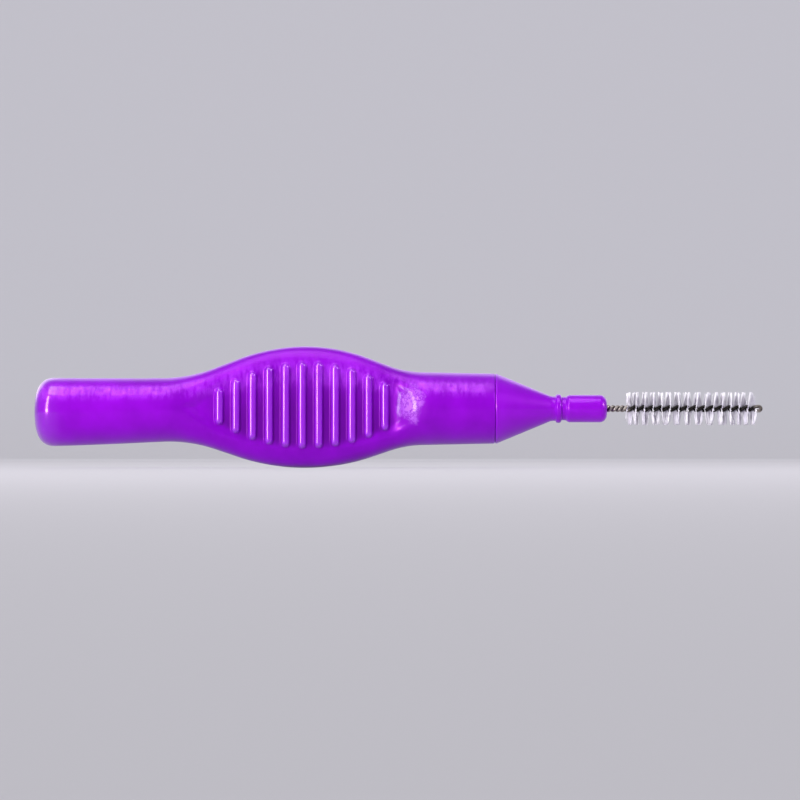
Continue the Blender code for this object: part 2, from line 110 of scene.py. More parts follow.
# Push fit and cone holder
SPIGOT_LENGTH = 0.0063
SPIGOT_RADIUS = 0.0022
SPIGOT_CHAMFER = 0.0004
SPIGOT_CLEARANCE = 0.00005
SOCKET_END_CLEARANCE = 0.0004
SEAM_GAP = 0.00003
SEAM_CHAMFER = 0.00013
SEAM_CHAMFER_DROP = 0.00005
CONE_END_LENGTH = 0.00536
CONE_END_RADIUS = 0.001205
NECK_LENGTH = 0.00044
NECK_RADIUS = 0.00118
RING_WIDTH = 0.00058
RING_RADIUS = 0.001375
GROOVE_WIDTH = 0.000625
GROOVE_RADIUS = 0.00113
GROOVE_SLOPE_SHARE = 0.33
NOSE_LENGTH = 0.003745
NOSE_RADIUS = 0.00132
NOSE_END_ROUND = 0.0007
HOLDER_ROUND = 0.00009
NOSE_START_ROUND = 0.0002
SEAM_FACE_ROUND_SHARE = 0.4
SEAM_EDGE_ROUND_SHARE = 0.3
RING_SIDE_SHARE = 0.1
RING_ROUND_SHARE = 0.26
RING_FOOT_ROUND_SHARE = 0.5
GROOVE_ROUND_SHARE = 0.7

# Twisted wire. Its legs bite into the filaments here, so they are a little thicker than in the
# solids and lie closer.
WIRE_RADIUS = 0.000165
WIRE_LEG_GAP = 0.00004
WIRE_BARE_GAP = 0.00002
WIRE_ROOT_LENGTH = 0.0075
WIRE_CHANNEL_CLEARANCE = 0.00003
WIRE_BARE_LENGTH = 0.00194
WIRE_BARE_TWIST = 2.0 * math.pi
WIRE_TWIST_EASE = 0.00012
WIRE_SPREAD_LENGTH = 0.0004
WIRE_EYE_RADIUS = 0.00022
WIRE_TIP_LENGTH = 0.00065

# Filaments. The tufts of the upper and of the lower side stand at shares of the brush's length.
BRISTLE_LENGTH = 0.0124
BRISTLE_RADIUS = 0.00158
TUFT_COUNT = 15
STRANDS_PER_SIDE = 76
STRAND_RADIUS = 0.000034
STRAND_SIDES = 5
UPRIGHT_LIMIT_SHARE = 0.85
UPRIGHT_SPREAD_SHARE = 0.34
GATHER_SHARE = 0.7
UPPER_TUFT_SHARES = (0.01, 0.07, 0.14, 0.2, 0.26, 0.32, 0.39, 0.47,
                     0.55, 0.63, 0.69, 0.75, 0.8, 0.85, 0.9, 0.96)
LOWER_TUFT_SHARES = (0.02, 0.07, 0.14, 0.22, 0.3, 0.39, 0.47,
                     0.55, 0.64, 0.74, 0.82, 0.87, 0.92, 0.98)
TUFT_WIDTH_SHARE = 0.42
WISP_WIDTH = 0.00028
WISP_PULL = 0.000035

# How a filament is rooted, bent and cut. A spread is that of a random draw: an angle in radians,
# a length, or a share of the reach that the trim takes off.
ROOT_PLACE_SHARES = (0.2, 0.8)
SPARSE_SKIP_SHARE = 0.55
SPARSE_STRAY_SHARE = 0.5
STRAY_SHARE = 0.03
TIP_ANGLE_SPREAD = 0.1
TIP_SPREAD = 0.00002
STRAY_TIP_SPREAD = 0.00016
TRIM_SPREAD_SHARE = 0.01
STRAY_TRIM_SPREAD_SHARE = 0.03
STRAND_POINT_SHARES = (0.0, 0.2, 0.38, 0.65, 1.0)
STRAND_TURN_SHARES = (0.16, 0.5)
STRAND_SPREAD_SHARE = 0.38
STRAND_LEAN_POWER = 0.9

# Colours of the plastic: two tones of each moulding, then the painted shade between the ribs, the
# painted highlight on their crests and in the streaks, the mottled mark on the ramp, painted pale
# partly as a highlight, and the tint of its shine
HANDLE_TONES = ((0.16, 0.0003, 0.385), (0.25, 0.001, 0.57))
HOLDER_TONES = ((0.195, 0.0003, 0.46), (0.28, 0.001, 0.63))
PANEL_SHADE_COLOUR = (0.098, 0.0002, 0.24)
CREST_HIGHLIGHT_COLOUR = (0.34, 0.003, 0.78)
STREAK_HIGHLIGHT_COLOUR = (0.5, 0.05, 0.92)
MARK_AND_GLINT_COLOUR = (0.58, 0.2, 0.9)
SHINE_TINT = (0.85, 0.09, 1.0)
HANDLE_GLOSS = 0.03
HOLDER_GLOSS = 0.12
HANDLE_PATTERN_CENTRE = (0.0, 0.0, 0.0)
HOLDER_PATTERN_CENTRE = (0.004, 0.0, 0.0)

# Where the mark on the ramp lies, which is painted pale partly as a highlight
MARK_CENTRE = (0.00105, -0.003, 0.00605)
MARK_HALF_LENGTH = 0.0014
MARK_HALF_HEIGHT = 0.0021
MARK_DEPTH = 0.003

# Colours of the filaments, and the painted shade on their roots beside the wire
FILAMENT_STOPS = ((0.0, (0.68, 0.64, 0.76)), (0.45, (0.9, 0.88, 0.92)), (1.0, (0.98, 0.97, 0.98)))
ROOT_SHADE_COLOUR = (0.3, 0.27, 0.36)
ROOT_SHADE_START = 0.00035
ROOT_SHADE_LENGTH = 0.0008

# Tones of the wire from groove to crest, painted darker in the grooves and lighter on the crests
# as shade and highlight, where it is bare and, painted darker still as shade, where filaments
# cover it
BARE_STEEL_TONES = ((0.085, 0.07, 0.064), (0.43, 0.39, 0.355))
SHADED_STEEL_TONES = ((0.004, 0.0035, 0.0035), (0.035, 0.032, 0.03))
COVER_BLEND_LENGTH = 0.0003

# Size of the blotches and grain of each finish, and the height of its bumps
BROAD_BLOTCH = 0.011
CLOUD_BLOTCH = 0.0032
STREAK_GRAIN = 0.00036
SCRIBBLE_GRAIN = 0.00062
PLASTIC_BUMP_HEIGHT = 0.00004
TARNISH_BLOTCH = 0.0006
DRAWING_GRAIN = 0.00007
STEEL_BUMP_HEIGHT = 0.000004

# Mesh steps
HANDLE_SEGMENTS = 264
OUTLINE_STEPS = 2880
TAIL_FLAT_RING_SHARES = (0.1, 0.55)
TAIL_DOME_STEPS = 18
TAIL_RINGS = 14
FLANK_RINGS = 16
RIB_RING_SHARES = (0.25, 0.47, 0.65, 0.79, 0.9, 1.0, 1.1, 1.25, 1.5)
RAMP_REACH_SHARE = 1.25
RAMP_RINGS = 44
COLLAR_RINGS = 14
COLLAR_EDGE_STEPS = 4
TURNED_SEGMENTS = 128
CORNER_SEGMENTS = 6
WIRE_SIDES = 16
WIRE_STEPS_PER_TURN = 26
WIRE_SPREAD_STEPS = 8
WIRE_EYE_STEPS = 16
MERGE_DISTANCE = 1e-7

# Straight lines of the handle's outline, as slope and height at station zero
FLANK_SLOPE = math.tan(GRIP_FLANK_ANGLE)
FLANK_LIFT_SHARE = 1 / math.cos(GRIP_FLANK_ANGLE) - 1
RISING_TOP = GRIP_HALF_HEIGHT + RISING_CROWN_RADIUS * FLANK_LIFT_SHARE
FALLING_TOP = GRIP_HALF_HEIGHT + FALLING_CROWN_RADIUS * FLANK_LIFT_SHARE
FLAT_START_STATION = GRIP_STATION - FLAT_REACH
TAIL_SLOPE = (TAIL_WAIST_RADIUS - TAIL_RADIUS) / (FLAT_START_STATION - TAIL_DOME_LENGTH)
TAIL_LINE = (TAIL_SLOPE, TAIL_RADIUS - TAIL_SLOPE * TAIL_DOME_LENGTH)
RISING_FLANK = (FLANK_SLOPE, RISING_TOP - FLANK_SLOPE * GRIP_STATION)
FALLING_FLANK = (-FLANK_SLOPE, FALLING_TOP + FLANK_SLOPE * GRIP_STATION)
COLLAR_SLOPE = (COLLAR_RADIUS - COLLAR_ROOT_RADIUS) / COLLAR_LENGTH


def crossing(first, second):
    """Station at which two straight lines cross."""
    return (second[1] - first[1]) / (first[0] - second[0])


# Stations that follow from the sizes
COLLAR_CORNER_STATION = crossing(FALLING_FLANK, (0.0, COLLAR_ROOT_RADIUS))
COLLAR_LINE = (COLLAR_SLOPE, COLLAR_ROOT_RADIUS - COLLAR_SLOPE * COLLAR_CORNER_STATION)
RAMP_START_STATION = COLLAR_CORNER_STATION - COLLAR_RAMP_LEAD
HANDLE_LENGTH = COLLAR_CORNER_STATION + COLLAR_LENGTH
SHOULDER_STATION = HANDLE_LENGTH + SEAM_GAP
CONE_END_STATION = SHOULDER_STATION + CONE_END_LENGTH
RING_START_STATION = CONE_END_STATION + NECK_LENGTH
GROOVE_START_STATION = RING_START_STATION + RING_WIDTH
NOSE_START_STATION = GROOVE_START_STATION + GROOVE_WIDTH
NOSE_END_STATION = NOSE_START_STATION + NOSE_LENGTH
BRISTLE_START_STATION = NOSE_END_STATION + WIRE_BARE_LENGTH
BRISTLE_END_STATION = BRISTLE_START_STATION + BRISTLE_LENGTH
TIP_STATION = BRISTLE_END_STATION + WIRE_TIP_LENGTH
EYE_STATION = TIP_STATION - WIRE_RADIUS - WIRE_EYE_RADIUS
TWIST_END_STATION = EYE_STATION - WIRE_SPREAD_LENGTH
FIRST_RIB_STATION = GRIP_STATION - RIB_SHIFT - RIB_PITCH * (RIB_COUNT - 1) / 2
LAST_RIB_STATION = FIRST_RIB_STATION + RIB_PITCH * (RIB_COUNT - 1)

HALF_TURN = BRISTLE_LENGTH / TUFT_COUNT
SPARSE_END_STATION = BRISTLE_START_STATION + HALF_TURN / 2
LEG_OFFSET = WIRE_RADIUS + WIRE_LEG_GAP / 2
BARE_LEG_OFFSET = WIRE_RADIUS + WIRE_BARE_GAP / 2


def smooth_share(value, start, length):
    """Rise smoothly from 0 at start to 1 one length later."""
    share = np.clip((value - start) / length, 0.0, 1.0)
    return share * share * (3 - 2 * share)


def ramp_share(value, start, length, ease):
    """Rise in a straight line from 0 to 1, with rounded ends."""
    begun = value - start
    ended = begun - length
    return (begun - ended + np.hypot(begun, ease) - np.hypot(ended, ease)) / (2 * length)


def middle_height(station):
    """Height of the handle's middle line over the brush's axis."""
    rise = smooth_share(station, 0.0, MIDDLE_TOP_STATION)
    fall_length = COLLAR_CORNER_STATION - MIDDLE_TOP_STATION
    fall = smooth_share(station, MIDDLE_TOP_STATION, fall_length)
    return (TAIL_DROP + GRIP_RISE) * rise - TAIL_DROP - GRIP_RISE * fall


AXIS_HEIGHT = GRIP_HALF_HEIGHT - middle_height(GRIP_STATION)


def place(station, y=0.0, z=0.0):
    """Return the point at a station, with y and z counted from the brush's axis."""
    return Vector((station - TIP_STATION / 2, y, z + AXIS_HEIGHT))


# Shader building


class Signal:
    """The output of a shader node, on which sums are written as in Python."""

    def __init__(self, finish, socket):
        self.finish = finish
        self.socket = socket

    def maths(self, operation, first, second=0.0, clamp=False):
        settings = {"operation": operation, "use_clamp": clamp}
        return self.finish.node("ShaderNodeMath", settings, {0: first, 1: second})

    def __add__(self, other):
        return self.maths("ADD", self, other)

    def __sub__(self, other):
        return self.maths("SUBTRACT", self, other)

    def __rsub__(self, other):
        return self.maths("SUBTRACT", other, self)

    def __mul__(self, other):
        return self.maths("MULTIPLY", self, other)

    def __truediv__(self, other):
        return self.maths("DIVIDE", self, other)

    def __pow__(self, other):
        return self.maths("POWER", self, other)

    def __abs__(self):
        return self.maths("ABSOLUTE", self)

    __radd__ = __add__
    __rmul__ = __mul__

    def held(self):
        """The signal kept between 0 and 1."""
        return self.maths("ADD", self, 0.0, clamp=True)


class Finish:
    """A material whose nodes are made one by one around its Principled shader."""

    def __init__(self, name):
        self.material = bpy.data.materials.new(name)
        self.material.use_nodes = True
        self.tree = self.material.node_tree
        self.shader = self.tree.nodes["Principled BSDF"]

    def node(self, kind, settings=None, sockets=None, output=0):
        """Make a node: its settings first, then the values or links of its sockets."""
        made = self.tree.nodes.new(kind)
        for name, value in (settings or {}).items():
            if name == "stops":
                self.set_stops(made.color_ramp, value)
            else:
                setattr(made, name, value)
        for name, value in (sockets or {}).items():
            self.feed(made.inputs[name], value)
        return Signal(self, made.outputs[output])

    def set_stops(self, ramp, stops):
        """Give a ramp its stops, as places and colours."""
        while len(ramp.elements) < len(stops):
            ramp.elements.new(1.0)
        for element, (position, colour) in zip(ramp.elements, stops):
            element.position = position
            element.color = (*colour, 1.0)

    def feed(self, socket, value):
        """Link a signal to a socket, or set the socket's own value."""
        if isinstance(value, Signal):
            self.tree.links.new(value.socket, socket)
        elif isinstance(value, tuple) and len(value) == 3 and socket.type == "RGBA":
            socket.default_value = (*value, 1.0)
        else:
            socket.default_value = value

    def set(self, **values):
        """Set the Principled shader's sockets, with underscores for spaces."""
        for name, value in values.items():
            self.feed(self.shader.inputs[name.replace("_", " ")], value)

    def spot(self, centre=(0.0, 0.0, 0.0), scale=(1.0, 1.0, 1.0)):
        """Object coordinates, counted from a centre and stretched."""
        shift = tuple(-part * factor for part, factor in zip(centre, scale))
        coordinates = self.node("ShaderNodeTexCoord", output="Object")
        sockets = {"Vector": coordinates, "Location": shift, "Scale": scale}
        return self.node("ShaderNodeMapping", {"vector_type": "POINT"}, sockets)

    def attribute(self, name):
        """A number that the mesh holds for each of its points."""
        return self.node("ShaderNodeAttribute", {"attribute_name": name}, None, "Fac")

    def length(self, where):
        """Distance of a place from its zero."""
        return self.node("ShaderNodeVectorMath", {"operation": "LENGTH"}, {0: where}, "Value")

    def noise(self, where, size, detail, roughness):
        """Noise whose blotches are about as large as the size."""
        sockets = {"Vector": where, "Scale": 1 / size, "Detail": detail, "Roughness": roughness}
        return self.node("ShaderNodeTexNoise", None, sockets)

    def ramp(self, factor, stops):
        """Colours along a factor."""
        return self.node("ShaderNodeValToRGB", {"stops": stops}, {"Fac": factor})

    def fade(self, factor, tones):
        """Colours from the first tone to the second along a factor."""
        return self.ramp(factor, tuple(zip((0.0, 1.0), tones)))

    def mix(self, factor, first, second):
        """Blend two colours."""
        settings = {"data_type": "RGBA", "blend_type": "MIX"}
        return self.node("ShaderNodeMix", settings, {0: factor, 6: first, 7: second}, 2)

    def glow_when_seen(self, share, colour):
        """Blend in an even glow for rays from the camera, from a mirror or through glass."""
        ways = self.node("ShaderNodeLightPath").socket.node.outputs
        seen = Signal(self, ways["Is Camera Ray"]) + Signal(self, ways["Is Glossy Ray"])
        seen = (seen + Signal(self, ways["Is Transmission Ray"])).held()
        lit = Signal(self, self.shader.outputs[0])
        glow = self.node("ShaderNodeEmission", None, {"Color": colour, "Strength": 1.0})
        blend = self.node("ShaderNodeMixShader", None, {0: seen * share, 1: lit, 2: glow})
        self.feed(self.tree.nodes["Material Output"].inputs["Surface"], blend)

    def bump(self, height, distance):
        """Turn a height into a normal."""
        sockets = {"Height": height, "Distance": distance, "Strength": 1.0}
        return self.node("ShaderNodeBump", None, sockets)


def violet_plastic(name, tones, centre, gloss):
    """Moulded violet plastic: waxy mottling, painted shade between ribs, painted highlights on
    crests and streaks, and a ramp mark painted pale partly as a highlight.
    """
    finish = Finish(name)
    where = finish.spot(centre)
    across = finish.spot(centre, (1.0, 0.3, 0.3))
    broad = finish.noise(where, BROAD_BLOTCH, 1.0, 0.4)
    clouds = finish.noise(where, CLOUD_BLOTCH, 3.0, 0.55)
    grain = finish.noise(across, STREAK_GRAIN, 3.0, 0.62)
    sunk = finish.attribute("sunk")
    raised = finish.attribute("raised")
    streaked = finish.attribute("streaked")
    polished = finish.attribute("polished")

    # Noise stays near a half, so its contrast is raised before it blends two colours
    streaks_and_sheen = ((grain - 0.5) * 3.5 + (clouds - 0.5) * 2 + 0.4).held() * streaked
    tone = (broad * 0.5 + clouds * 0.5 - 0.36) * 3.6
    colour = finish.fade(tone.held(), tones)
    # Painted shade: the panel between the ribs is coloured darker, deepest below the ribs' upper
    # ends
    colour = finish.mix(sunk * (0.7 + clouds * 0.5), colour, PANEL_SHADE_COLOUR)
    # Painted highlight: the rib crests are coloured paler; the same mask also makes them glossier
    colour = finish.mix(raised * 0.5, colour, CREST_HIGHLIGHT_COLOUR)
    # Painted highlight: the streaks of the upper band, which faces the light from above, are
    # coloured paler
    colour = finish.mix(streaks_and_sheen * 0.45, colour, STREAK_HIGHLIGHT_COLOUR)

    # The mark: pale scribbled lines within a ragged edge, on a dull ground. Its paleness is partly
    # a moulding mark and partly a painted highlight on the ramp.
    stretch = (1 / MARK_HALF_LENGTH, 1 / MARK_DEPTH, 1 / MARK_HALF_HEIGHT)
    reach = finish.length(finish.spot(MARK_CENTRE, stretch))
    scribble = finish.noise(where, SCRIBBLE_GRAIN, 3.0, 0.62)
    lines = (abs(scribble - 0.5) * 16 + 0.1).held()
    edge = ((1.0 - reach) * 2 + (clouds - 0.5) * 3 + (scribble - 0.5) * 1.5).held()
    mark_and_glint = edge * lines
    dull = ((1.3 - reach) * 2.5).held()
    # Partly painted highlight: the mark is coloured pale where the ramp catches the light
    colour = finish.mix(mark_and_glint * 0.7, colour, MARK_AND_GLINT_COLOUR)

    height = clouds * 0.5 + streaks_and_sheen * 0.15 + mark_and_glint * 0.3
    finish.set(
        Base_Color=colour,
        Roughness=0.3 - streaks_and_sheen * 0.1 + clouds * 0.06 - raised * 0.1 + dull * 0.28,
        Specular_IOR_Level=0.8,
        Specular_Tint=SHINE_TINT,
        Coat_Weight=(gloss + streaks_and_sheen * 0.1 + raised * 0.9 + polished * 0.6 + edge * 0.15).held(),
        Coat_Roughness=0.12,
        Coat_IOR=1.75,
        Normal=finish.bump(height, PLASTIC_BUMP_HEIGHT),
    )
    return finish


# Mesh building


def finish_piece(name, bm, finish):
    """Turn a bmesh into a smooth-shaded object with one material."""
    mesh = bpy.data.meshes.new(name)
    bm.to_mesh(mesh)
    bm.free()
    mesh.shade_smooth()
    mesh.materials.append(finish.material)
    obj = bpy.data.objects.new(name, mesh)
    bpy.context.scene.collection.objects.link(obj)
    return obj


def draw_through(bm, rings, tone=0.0):
    """Draw a closed loop of edges through rings of points, and cap both ends."""
    order = bm.verts.layers.int.get("order") or bm.verts.layers.int.new("order")
    shade = bm.verts.layers.float.get("tone") or bm.verts.layers.float.new("tone")
    verts = [bm.verts.new(point) for point in rings[0]]
    for index, vert in enumerate(verts):
        vert[order] = index
        vert[shade] = tone
    edges = [bm.edges.new(pair) for pair in zip(verts, verts[1:] + verts[:1])]
    bmesh.ops.contextual_create(bm, geom=edges)
    for ring in rings[1:]:
        drawn = bmesh.ops.extrude_edge_only(bm, edges=edges)["geom"]
        for vert in drawn:
            if isinstance(vert, bmesh.types.BMVert):
                vert.co = ring[vert[order]]
        edges = [edge for edge in drawn if isinstance(edge, bmesh.types.BMEdge)]
        edges = [edge for edge in edges if edge.is_boundary]
    bmesh.ops.contextual_create(bm, geom=edges)


def tube_rings(path, radius, sides):
    """Rings of a round tube along a path, turned as little as can be."""
    rings = []
    side = None
    for index, point in enumerate(path):
        ahead = path[min(index + 1, len(path) - 1)] - path[max(index - 1, 0)]
        ahead.normalize()
        side = side or ahead.orthogonal()
        side = (side - ahead * side.dot(ahead)).normalized()
        other = ahead.cross(side)
        ring = []
        for number in range(sides):
            turn = 2 * math.pi * number / sides
            ring.append(point + (side * math.cos(turn) + other * math.sin(turn)) * radius)
        rings.append(ring)
    return rings


# Ribbed handle


def line_height(line, station):
    """Height of a straight line at a station."""
    return line[0] * station + line[1]


def hollow_fillet(station, before, after, radius):
    """Height of the round that fills the corner of two lines, or of the lines beside it."""
    corner = crossing(before, after)
    reach = radius * math.tan((math.atan(after[0]) - math.atan(before[0])) / 2)
    start = corner - reach * math.cos(math.atan(before[0]))
    end = corner + reach * math.cos(math.atan(after[0]))
    if station <= start:
        return line_height(before, station)
    if station >= end:
        return line_height(after, station)
    centre_station = start - radius * math.sin(math.atan(before[0]))
    centre_height = line_height(before, start) + radius * math.cos(math.atan(before[0]))
    return centre_height - math.sqrt(radius ** 2 - (station - centre_station) ** 2)


def half_height(station):
    """Half the handle's height at a station: tail, flank, crown, flank and collar."""
    crown_radius = RISING_CROWN_RADIUS if station < GRIP_STATION else FALLING_CROWN_RADIUS
    crown_reach = crown_radius * math.sin(GRIP_FLANK_ANGLE)
    if station < GRIP_STATION - crown_reach:
        return hollow_fillet(station, TAIL_LINE, RISING_FLANK, TAIL_FILLET_RADIUS)
    if station > GRIP_STATION + crown_reach:
        return hollow_fillet(station, FALLING_FLANK, COLLAR_LINE, COLLAR_FILLET_RADIUS)
    drop = math.sqrt(crown_radius ** 2 - (station - GRIP_STATION) ** 2) - crown_radius
    return GRIP_HALF_HEIGHT + drop


def collar_share(station):
    """0 on the grip and 1 on the collar, rising over the straight ramp between them."""
    return ramp_share(station, RAMP_START_STATION, COLLAR_RAMP_LENGTH, COLLAR_RAMP_EASE)


def half_depth(station):
    """Half the handle's depth: round tail, flat grip, round collar."""
    flat = smooth_share(station, FLAT_START_STATION, FLAT_BLEND_LENGTH)
    collar = collar_share(station)
    tail_radius = line_height(TAIL_LINE, min(station, FLAT_START_STATION))
    depth = tail_radius * (1 - flat) + GRIP_HALF_DEPTH * flat
    return depth * (1 - collar) + line_height(COLLAR_LINE, station) * collar


def flatness(station):
    """0 where the handle is round and 1 where it is flat."""
    flat = smooth_share(station, FLAT_START_STATION, FLAT_BLEND_LENGTH)
    return flat * (1 - collar_share(station))


def rib_half_length(station):
    """Half the length of a rib: the ribs' ends lie on an arc."""
    reach = np.maximum(RIB_ARC_RADIUS ** 2 - (station - GRIP_STATION - RIB_ARC_SHIFT) ** 2, 0.0)
    return RIB_HALF_LENGTH - RIB_ARC_RADIUS + np.sqrt(reach)


def rib_rise(station, up):
    """How far the nearest rib stands out of the panel's floor: round top, hollow foot."""
    number = np.clip(np.rint((station - FIRST_RIB_STATION) / RIB_PITCH), 0, RIB_COUNT - 1)
    rib_station = FIRST_RIB_STATION + RIB_PITCH * number
    straight = rib_half_length(rib_station) - RIB_WIDTH / 2
    beyond = np.maximum(np.abs(up) - straight, 0.0)
    reach = np.hypot(station - rib_station, beyond) / (RIB_WIDTH / 2)
    edge_height = math.sqrt(1 - RIB_SIDE_SHARE ** 2)
    side = edge_height - (reach - RIB_SIDE_SHARE) * RIB_SIDE_SHARE / edge_height
    top = np.sqrt(np.maximum(1 - reach ** 2, 0.0))
    share = np.where(reach < RIB_SIDE_SHARE, top, side)
    return RIB_HEIGHT * (share + np.sqrt(share ** 2 + RIB_FOOT_SHARE ** 2) - RIB_FOOT_SHARE) / 2


def body_ring(station):
    """Evenly spaced points round the handle at a station, with its panels and ribs."""
    share = 2 / (2 + (GRIP_POWER - 2) * flatness(station))
    turns = np.linspace(0.0, 2 * math.pi, OUTLINE_STEPS + 1)
    across = half_depth(station) * np.copysign(np.abs(np.cos(turns)) ** share, np.cos(turns))
    up = half_height(station) * np.copysign(np.abs(np.sin(turns)) ** share, np.sin(turns))
    walked = np.append(0.0, np.cumsum(np.hypot(np.diff(across), np.diff(up))))
    wanted = np.linspace(0.0, walked[-1], HANDLE_SEGMENTS, endpoint=False)
    across = np.interp(wanted, walked, across)
    up = np.interp(wanted, walked, up)
    panel_up = up - PANEL_RISE
    inside = rib_half_length(station) + DISH_MARGIN - np.abs(panel_up)
    ribs_end = LAST_RIB_STATION + RIB_WIDTH / 2
    level = flatness(station) * smooth_share(inside, 0.0, DISH_EDGE)
    level *= 1 - smooth_share(station, ribs_end, DISH_END_LENGTH)
    depths = np.abs(across)
    spare = depths - PANEL_HALF_DEPTH
    blend = PANEL_BLEND + RAMP_BLEND * smooth_share(station, ribs_end, DISH_END_LENGTH)
    depths = depths - level * (spare + np.hypot(spare, blend)) / 2
    if abs(station - GRIP_STATION) < FLAT_REACH:
        rise = rib_rise(station, panel_up)
        crest_share = smooth_share(rise, 0.0, RIB_HEIGHT * CREST_EDGE_SHARE)
        depths = depths + rise + (PANEL_HALF_DEPTH - depths) * crest_share
    depths = np.copysign(depths, across)
    return [place(station, y, z) for y, z in zip(depths, up + middle_height(station))]


def round_ring(station, radius):
    """Points round a circle about the handle's middle line."""
    middle = middle_height(station)
    ring = []
    for index in range(HANDLE_SEGMENTS):
        turn = 2 * math.pi * index / HANDLE_SEGMENTS
        ring.append(place(station, radius * math.cos(turn), radius * math.sin(turn) + middle))
    return ring


def tail_rings():
    """Rings of the tail's rounded end, from a small flat in its middle."""
    rings = [round_ring(0.0, TAIL_END_RADIUS * share) for share in TAIL_FLAT_RING_SHARES]
    for index in range(TAIL_DOME_STEPS):
        angle = math.pi / 2 * index / TAIL_DOME_STEPS
        station = TAIL_DOME_LENGTH * (1 - math.cos(angle) ** (2 / DOME_POWER))
        swell = (TAIL_RADIUS - TAIL_END_RADIUS) * math.sin(angle) ** (2 / DOME_POWER)
        rings.append(round_ring(station, TAIL_END_RADIUS + swell))
    return rings


def body_stations():
    """Stations of the rings from the dome to the collar, close together over each rib's sides."""
    first = FIRST_RIB_STATION - RIB_PITCH / 2
    last = LAST_RIB_STATION + RIB_PITCH / 2
    ramp_end = RAMP_START_STATION + COLLAR_RAMP_LENGTH * RAMP_REACH_SHARE
    offsets = [share * RIB_WIDTH / 2 for share in RIB_RING_SHARES]
    stations = list(np.linspace(TAIL_DOME_LENGTH, FLAT_START_STATION, TAIL_RINGS, endpoint=False))
    stations += list(np.linspace(FLAT_START_STATION, first, FLANK_RINGS, endpoint=False))
    for number in range(RIB_COUNT):
        middle = FIRST_RIB_STATION + RIB_PITCH * number
        stations.append(middle - RIB_PITCH / 2)
        stations += [middle - offset for offset in reversed(offsets)] + [middle]
        stations += [middle + offset for offset in offsets]
    stations += list(np.linspace(last, ramp_end, RAMP_RINGS, endpoint=False))
    stations += list(np.linspace(ramp_end, HANDLE_LENGTH - COLLAR_EDGE, COLLAR_RINGS))
    return stations


def socket_rings():
    """Rings of the collar's rounded edge, its end face and the socket that takes the spigot."""
    rings = []
    for index in range(1, COLLAR_EDGE_STEPS + 1):
        angle = math.pi / 2 * index / COLLAR_EDGE_STEPS
        station = HANDLE_LENGTH - COLLAR_EDGE * (1 - math.sin(angle))
        rings.append(round_ring(station, COLLAR_RADIUS - COLLAR_EDGE * (1 - math.cos(angle))))
    bore = SPIGOT_RADIUS + SPIGOT_CLEARANCE
    depth = SPIGOT_LENGTH + SOCKET_END_CLEARANCE
    lip_station = HANDLE_LENGTH - COLLAR_EDGE * COLLAR_LIP_DEPTH_SHARE
    rings.append(round_ring(HANDLE_LENGTH, bore + COLLAR_EDGE))
    rings.append(round_ring(lip_station, bore + COLLAR_EDGE * COLLAR_LIP_WIDTH_SHARE))
    rings.append(round_ring(HANDLE_LENGTH - COLLAR_EDGE, bore))
    rings.append(round_ring(HANDLE_LENGTH - depth, bore))
    return rings


def shade_panel(obj):
    """Note for each point the painted shade between ribs, the painted highlight and gloss on a
    crest, the polish of the tail's end and the streaked band with its painted highlight.
    """
    mesh = obj.data
    points = np.empty(len(mesh.vertices) * 3)
    mesh.vertices.foreach_get("co", points)
    stations = points[0::3] + TIP_STATION / 2
    up = points[2::3] - AXIS_HEIGHT - middle_height(stations) - PANEL_RISE
    among = smooth_share(stations, FIRST_RIB_STATION - RIB_WIDTH, RIB_WIDTH)
    among *= 1 - smooth_share(stations, LAST_RIB_STATION + RIB_WIDTH / 2, RIB_WIDTH)
    half_lengths = rib_half_length(stations)
    rib_share = rib_rise(stations, up) / RIB_HEIGHT
    # Painted shade between the ribs, deepening in two steps below their upper ends
    upper = smooth_share(half_lengths - up, 0.0, DISH_EDGE) * FIRST_SHADE_SHARE
    upper += smooth_share(half_lengths - up, DISH_EDGE, 2 * DISH_EDGE) * SECOND_SHADE_SHARE
    lower = smooth_share(half_lengths + up, -RIB_WIDTH / 4, RIB_WIDTH)
    sunk = among * upper * lower * (1 - smooth_share(rib_share, *GAP_SHADE_FADE_SHARES))
    # The crests' mask: painted highlight in the colour, and more gloss
    raised = among * smooth_share(rib_share, *CREST_HIGHLIGHT_FADE_SHARES)
    polish_start = TAIL_DOME_LENGTH * POLISH_START_SHARE
    polished = 1 - smooth_share(stations, polish_start, TAIL_DOME_LENGTH)
    limits = np.array([half_height(station) for station in stations])
    level = (up + PANEL_RISE) / limits
    # The upper band, where the streaks are painted paler as a highlight
    streaked = smooth_share(level, *STREAK_RISE_SHARES)
    streaked = streaked * (1 - smooth_share(level, *STREAK_FALL_SHARES))
    marked = {"sunk": sunk, "raised": raised, "polished": polished, "streaked": streaked}
    for name, values in marked.items():
        mesh.attributes.new(name, "FLOAT", "POINT").data.foreach_set("value", values)


def make_handle(finish):
    """The handle: domed tail, ribbed grip and round collar with its socket."""
    bm = bmesh.new()
    rings = tail_rings() + [body_ring(station) for station in body_stations()] + socket_rings()
    draw_through(bm, rings)
    bmesh.ops.recalc_face_normals(bm, faces=bm.faces)
    obj = finish_piece("ribbed_handle", bm, finish)
    shade_panel(obj)
    return obj


# Cone holder


